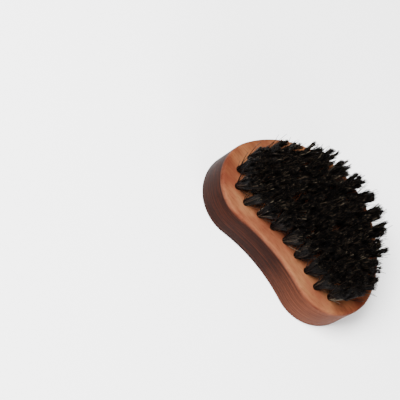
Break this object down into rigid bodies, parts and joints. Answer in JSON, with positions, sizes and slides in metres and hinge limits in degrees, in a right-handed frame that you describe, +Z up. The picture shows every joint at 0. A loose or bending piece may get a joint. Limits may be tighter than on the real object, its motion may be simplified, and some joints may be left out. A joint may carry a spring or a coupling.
{
  "type": "beard brush",
  "caption": "Kidney-shaped hand brush with a rounded solid wood block and rings of dark natural bristle tufts set in drilled holes.",
  "frame": {"origin": "middle of the flat back of the wood block", "axes": "+X along the length, +Y towards the long side that bulges, +Z up out of the bristle face"},
  "size_m": [0.098, 0.0628, 0.038],
  "materials": {
    "wood": "satin varnish, reddish brown, lighter on the bristle face",
    "bristle": "natural black boar bristle, slightly glossy",
    "anchor_wire": "flat drawn wire"
  },
  "bodies": {
    "root": {"wood_block": "wood", "wire_anchors": "anchor_wire", "tuft_outer_1": "bristle", "tuft_outer_2": "bristle", "tuft_outer_3": "bristle", "tuft_outer_4": "bristle", "tuft_outer_5": "bristle", "tuft_outer_6": "bristle", "tuft_outer_7": "bristle", "tuft_outer_8": "bristle", "tuft_outer_9": "bristle", "tuft_outer_10": "bristle", "tuft_outer_11": "bristle", "tuft_outer_12": "bristle", "tuft_outer_13": "bristle", "tuft_outer_14": "bristle", "tuft_outer_15": "bristle", "tuft_outer_16": "bristle", "tuft_outer_17": "bristle", "tuft_outer_18": "bristle", "tuft_outer_19": "bristle", "tuft_outer_20": "bristle", "tuft_outer_21": "bristle", "tuft_outer_22": "bristle", "tuft_outer_23": "bristle", "tuft_outer_24": "bristle", "tuft_middle_1": "bristle", "tuft_middle_2": "bristle", "tuft_middle_3": "bristle", "tuft_middle_4": "bristle", "tuft_middle_5": "bristle", "tuft_middle_6": "bristle", "tuft_middle_7": "bristle", "tuft_middle_8": "bristle", "tuft_middle_9": "bristle", "tuft_middle_10": "bristle", "tuft_middle_11": "bristle", "tuft_middle_12": "bristle", "tuft_middle_13": "bristle", "tuft_middle_14": "bristle", "tuft_middle_15": "bristle", "tuft_middle_16": "bristle", "tuft_middle_17": "bristle", "tuft_middle_18": "bristle", "tuft_inner_1": "bristle", "tuft_inner_2": "bristle", "tuft_inner_3": "bristle", "tuft_inner_4": "bristle", "tuft_inner_5": "bristle", "tuft_inner_6": "bristle", "tuft_inner_7": "bristle", "tuft_inner_8": "bristle", "tuft_inner_9": "bristle", "tuft_inner_10": "bristle", "tuft_inner_11": "bristle", "tuft_inner_12": "bristle", "tuft_inner_13": "bristle", "tuft_inner_14": "bristle", "tuft_centre_1": "bristle", "tuft_centre_2": "bristle"}
  },
  "joints": []
}
